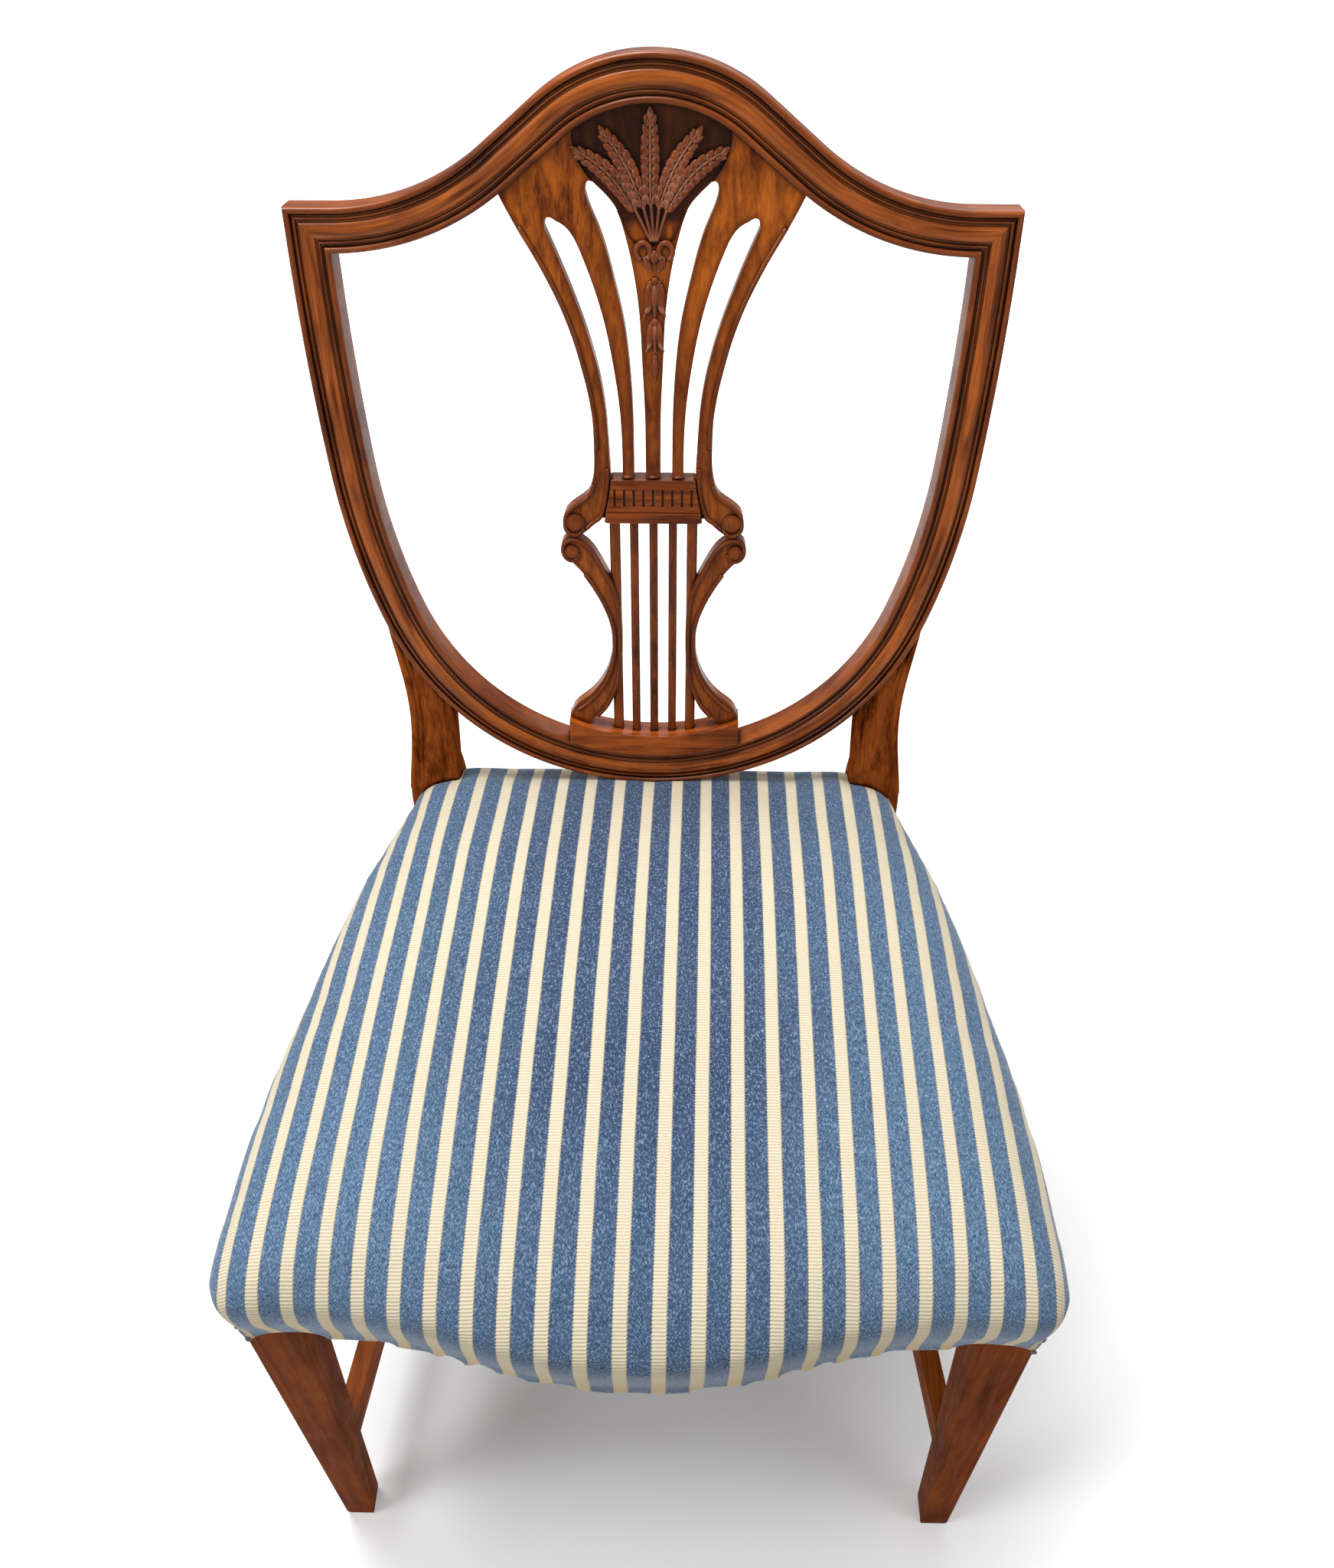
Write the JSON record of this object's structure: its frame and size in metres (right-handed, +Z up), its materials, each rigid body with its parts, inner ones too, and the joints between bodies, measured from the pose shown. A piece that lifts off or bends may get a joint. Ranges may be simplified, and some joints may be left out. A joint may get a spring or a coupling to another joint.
{
  "type": "dining chair",
  "caption": "Wooden dining side chair with a shield-shaped back, pierced fan and lyre splat, stuffed-over striped seat, square tapered legs and plain stretchers.",
  "frame": {"origin": "on the floor under the middle of the chair's bounding box", "axes": "+Z up, the front of the seat faces -Y, +X is to the right of someone looking at the front"},
  "size_m": [0.5416, 0.6178, 0.9677],
  "materials": {
    "polished_mahogany": "worn satin polish",
    "frame_hardwood": "unfinished",
    "webbing": "woven jute",
    "hessian": "woven jute",
    "stuffing": "hair and cotton wadding",
    "striped_cover": "woven stripes",
    "dust_cloth": "plain black cotton"
  },
  "bodies": {
    "root": {"back_seat_rail": "frame_hardwood", "crest_rail": "polished_mahogany", "cross_stretcher": "polished_mahogany", "dust_cover": "dust_cloth", "front_seat_rail": "frame_hardwood", "left_back_corner_block": "frame_hardwood", "left_back_post": "polished_mahogany", "left_front_corner_block": "frame_hardwood", "left_front_leg": "polished_mahogany", "left_lyre_arm": "polished_mahogany", "left_lyre_string": "polished_mahogany", "left_seat_rail": "frame_hardwood", "left_side_stretcher": "polished_mahogany", "middle_lyre_string": "polished_mahogany", "rear_stretcher": "polished_mahogany", "right_back_corner_block": "frame_hardwood", "right_back_post": "polished_mahogany", "right_front_corner_block": "frame_hardwood", "right_front_leg": "polished_mahogany", "right_lyre_arm": "polished_mahogany", "right_lyre_string": "polished_mahogany", "right_seat_rail": "frame_hardwood", "right_side_stretcher": "polished_mahogany", "seat_cover": "striped_cover", "seat_hessian": "hessian", "seat_stuffing": "stuffing", "seat_webbing": "webbing", "shield_base_rail": "polished_mahogany", "splat_fan": "polished_mahogany", "splat_shoe": "polished_mahogany", "splat_tablet": "polished_mahogany"}
  },
  "joints": []
}
